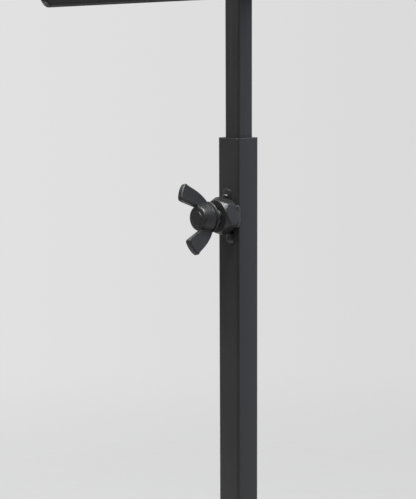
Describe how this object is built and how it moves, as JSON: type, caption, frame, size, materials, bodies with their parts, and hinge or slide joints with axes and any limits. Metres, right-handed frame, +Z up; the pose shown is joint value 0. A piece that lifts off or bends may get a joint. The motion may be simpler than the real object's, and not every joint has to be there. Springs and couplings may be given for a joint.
{
  "type": "music stand",
  "caption": "Floor-standing music stand: square base plate, telescopic square mast locked by a wing bolt, and a tilting sheet-metal desk with a ledge.",
  "frame": {"origin": "on the floor, under the axis of the square mast and the centre of the base plate", "axes": "+Z up; the reader stands at -Y and the desk leans back towards +Y, where the mast's wing bolt is; +X is the reader's right"},
  "size_m": [0.516, 0.32, 1.0845],
  "materials": {
    "powder_coated_steel": "fine-textured satin black powder coat",
    "wing_casting": "semi-gloss black paint over a casting",
    "black_fastener": "black zinc, slightly worn on its edges",
    "bright_fastener": "bright zinc",
    "black_nylon": "matt moulded nylon",
    "black_rubber": "matt black rubber"
  },
  "bodies": {
    "base": {"base_plate": "powder_coated_steel", "mast_flange": "powder_coated_steel", "lower_mast_tube": "powder_coated_steel", "clamp_boss": "powder_coated_steel", "rubber_foot_front_left": "black_rubber", "rubber_foot_front_right": "black_rubber", "rubber_foot_rear_left": "black_rubber", "rubber_foot_rear_right": "black_rubber", "foot_screw_front_left": "black_fastener", "foot_screw_front_right": "black_fastener", "foot_screw_rear_left": "black_fastener", "foot_screw_rear_right": "black_fastener", "flange_screw_front_left": "black_fastener", "flange_screw_front_right": "black_fastener", "flange_screw_rear_left": "black_fastener", "flange_screw_rear_right": "black_fastener"},
    "clamp_tip": {"clamp_pad": "black_nylon"},
    "wing_bolt": {"clamp_stud": "black_fastener", "clamp_wing_handle": "wing_casting"},
    "upper_mast": {"upper_mast_tube": "powder_coated_steel", "mast_end_plug": "black_nylon", "pivot_block": "wing_casting"},
    "desk": {"desk_panel": "powder_coated_steel", "desk_shelf": "powder_coated_steel", "shelf_rivet_1": "black_fastener", "shelf_rivet_2": "black_fastener", "shelf_rivet_3": "black_fastener", "shelf_rivet_4": "black_fastener", "shelf_rivet_5": "black_fastener", "tilt_bracket": "powder_coated_steel", "bracket_rivet_lower_left": "black_fastener", "bracket_rivet_lower_right": "black_fastener", "bracket_rivet_upper_left": "black_fastener", "bracket_rivet_upper_right": "black_fastener", "tilt_bolt": "black_fastener", "tilt_spacer_left": "black_nylon", "tilt_spacer_right": "black_nylon"},
    "tilt_washer": {"tilt_washer": "bright_fastener"},
    "tilt_knob": {"tilt_knob": "black_nylon"}
  },
  "joints": [
    {"name": "mast_height", "type": "slide", "parent": "base", "child": "upper_mast", "axis": [0, 0, 1], "range_m": [-0.08, 0.33]},
    {"name": "desk_tilt", "type": "hinge", "parent": "upper_mast", "child": "desk", "pos_m": [0, -0.0006, 0.819], "axis": [-1, 0, 0], "range_deg": [-12, 78]},
    {"name": "clamp_travel", "type": "slide", "parent": "base", "child": "clamp_tip", "axis": [0, 1, 0], "range_m": [0, 0.003]},
    {"name": "clamp_turn", "type": "hinge", "parent": "clamp_tip", "child": "wing_bolt", "pos_m": [0, 0.0205, 0.6095], "axis": [0, 1, 0], "range_deg": [0, 720]},
    {"name": "tilt_knob_travel", "type": "slide", "parent": "desk", "child": "tilt_washer", "axis": [1, 0, 0], "range_m": [0, 0.0025]},
    {"name": "tilt_knob_turn", "type": "hinge", "parent": "tilt_washer", "child": "tilt_knob", "pos_m": [0.0132, -0.0006, 0.819], "axis": [1, 0, 0], "range_deg": [0, 720]}
  ],
  "couplings": [
    {"joint": "clamp_travel", "follows": "clamp_turn", "m_per_rad": 0.00023873},
    {"joint": "tilt_knob_travel", "follows": "tilt_knob_turn", "m_per_rad": 0.00019894}
  ]
}
